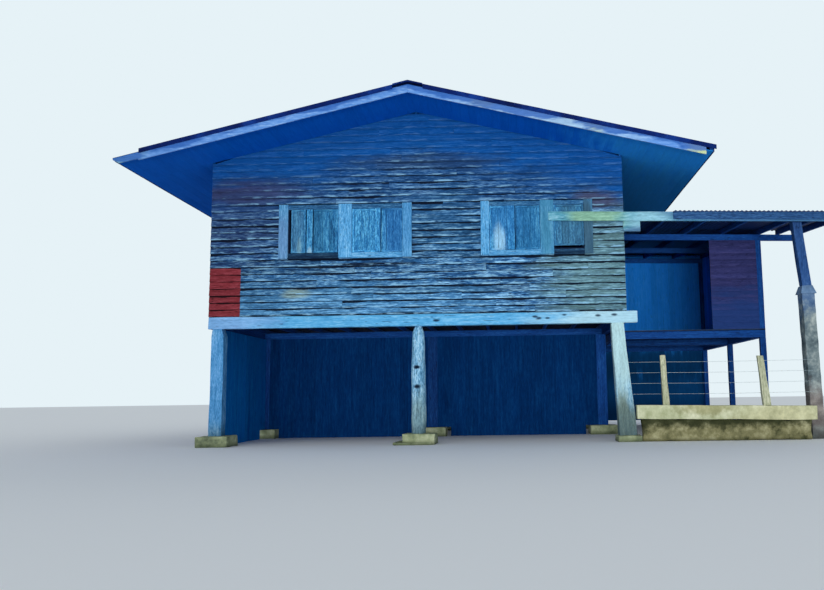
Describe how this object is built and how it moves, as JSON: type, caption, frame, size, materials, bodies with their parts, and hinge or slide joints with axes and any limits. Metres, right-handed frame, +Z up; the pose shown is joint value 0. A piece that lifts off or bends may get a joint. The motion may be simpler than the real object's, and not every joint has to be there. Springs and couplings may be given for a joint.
{
  "type": "stilt house",
  "caption": "Raised timber house on posts with a low gable roof, lapped-board walls, shuttered windows and a lean-to veranda at one side.",
  "frame": {"origin": "underside of the middle front post's pad, in the plane of the front wall and midway between the side walls", "axes": "+X to the right along the front wall, towards the lean-to; +Y into the house; +Z up"},
  "size_m": [12.42, 10.744, 6.0081],
  "materials": {
    "weathered_boards": "matte",
    "dark_boards": "matte",
    "shutter_boards": "matte",
    "painted_trim": "matte",
    "bleached_timber": "matte",
    "old_timber": "matte",
    "floor_boards": "satin",
    "roof_sheet": "matte",
    "lean_to_sheet": "weathered",
    "concrete": "matte",
    "rough_masonry": "rough",
    "wire": "dull"
  },
  "bodies": {
    "root": {"post_pads": "concrete", "front_left_post": "bleached_timber", "front_middle_post": "bleached_timber", "front_right_post": "bleached_timber", "squared_posts": "old_timber", "end_sill_beams": "bleached_timber", "side_sill_beams": "old_timber", "cross_beams": "old_timber", "floor_joists": "old_timber", "floor_boards": "floor_boards", "front_wall": "weathered_boards", "rear_wall": "weathered_boards", "left_wall": "weathered_boards", "right_wall": "weathered_boards", "right_wall_over_door": "weathered_boards", "wall_plates": "old_timber", "front_window_casings": "painted_trim", "front_left_shutters": "shutter_boards", "front_right_shutters": "shutter_boards", "other_window_casings": "painted_trim", "other_shutters": "shutter_boards", "door_frame": "painted_trim", "tie_beams": "old_timber", "king_posts": "old_timber", "ridge_beam": "old_timber", "rafters": "old_timber", "purlins": "old_timber", "eave_lookouts": "old_timber", "gable_soffits": "dark_boards", "eave_soffits": "dark_boards", "eave_boards": "dark_boards", "left_roof_sheets": "roof_sheet", "right_roof_sheets": "roof_sheet", "ridge_cap": "roof_sheet", "left_barge_boards": "painted_trim", "right_barge_boards": "painted_trim", "verge_caps": "roof_sheet", "underfloor_screen": "dark_boards", "lean_to_beam": "bleached_timber", "lean_to_fascia": "dark_boards", "lean_to_cleat": "bleached_timber", "lean_to_rafters": "old_timber", "lean_to_tie_beams": "old_timber", "lean_to_roof_sheets": "lean_to_sheet", "canopy_sheets": "lean_to_sheet", "concrete_column": "concrete", "lean_to_upper_post": "old_timber", "veranda_posts": "old_timber", "veranda_beams": "old_timber", "veranda_edge_beams": "old_timber", "veranda_floor": "floor_boards", "veranda_walls": "dark_boards", "kerb_beam": "concrete", "kerb_wall": "rough_masonry", "fence_stakes": "bleached_timber", "fence_wires": "wire"}
  },
  "joints": []
}
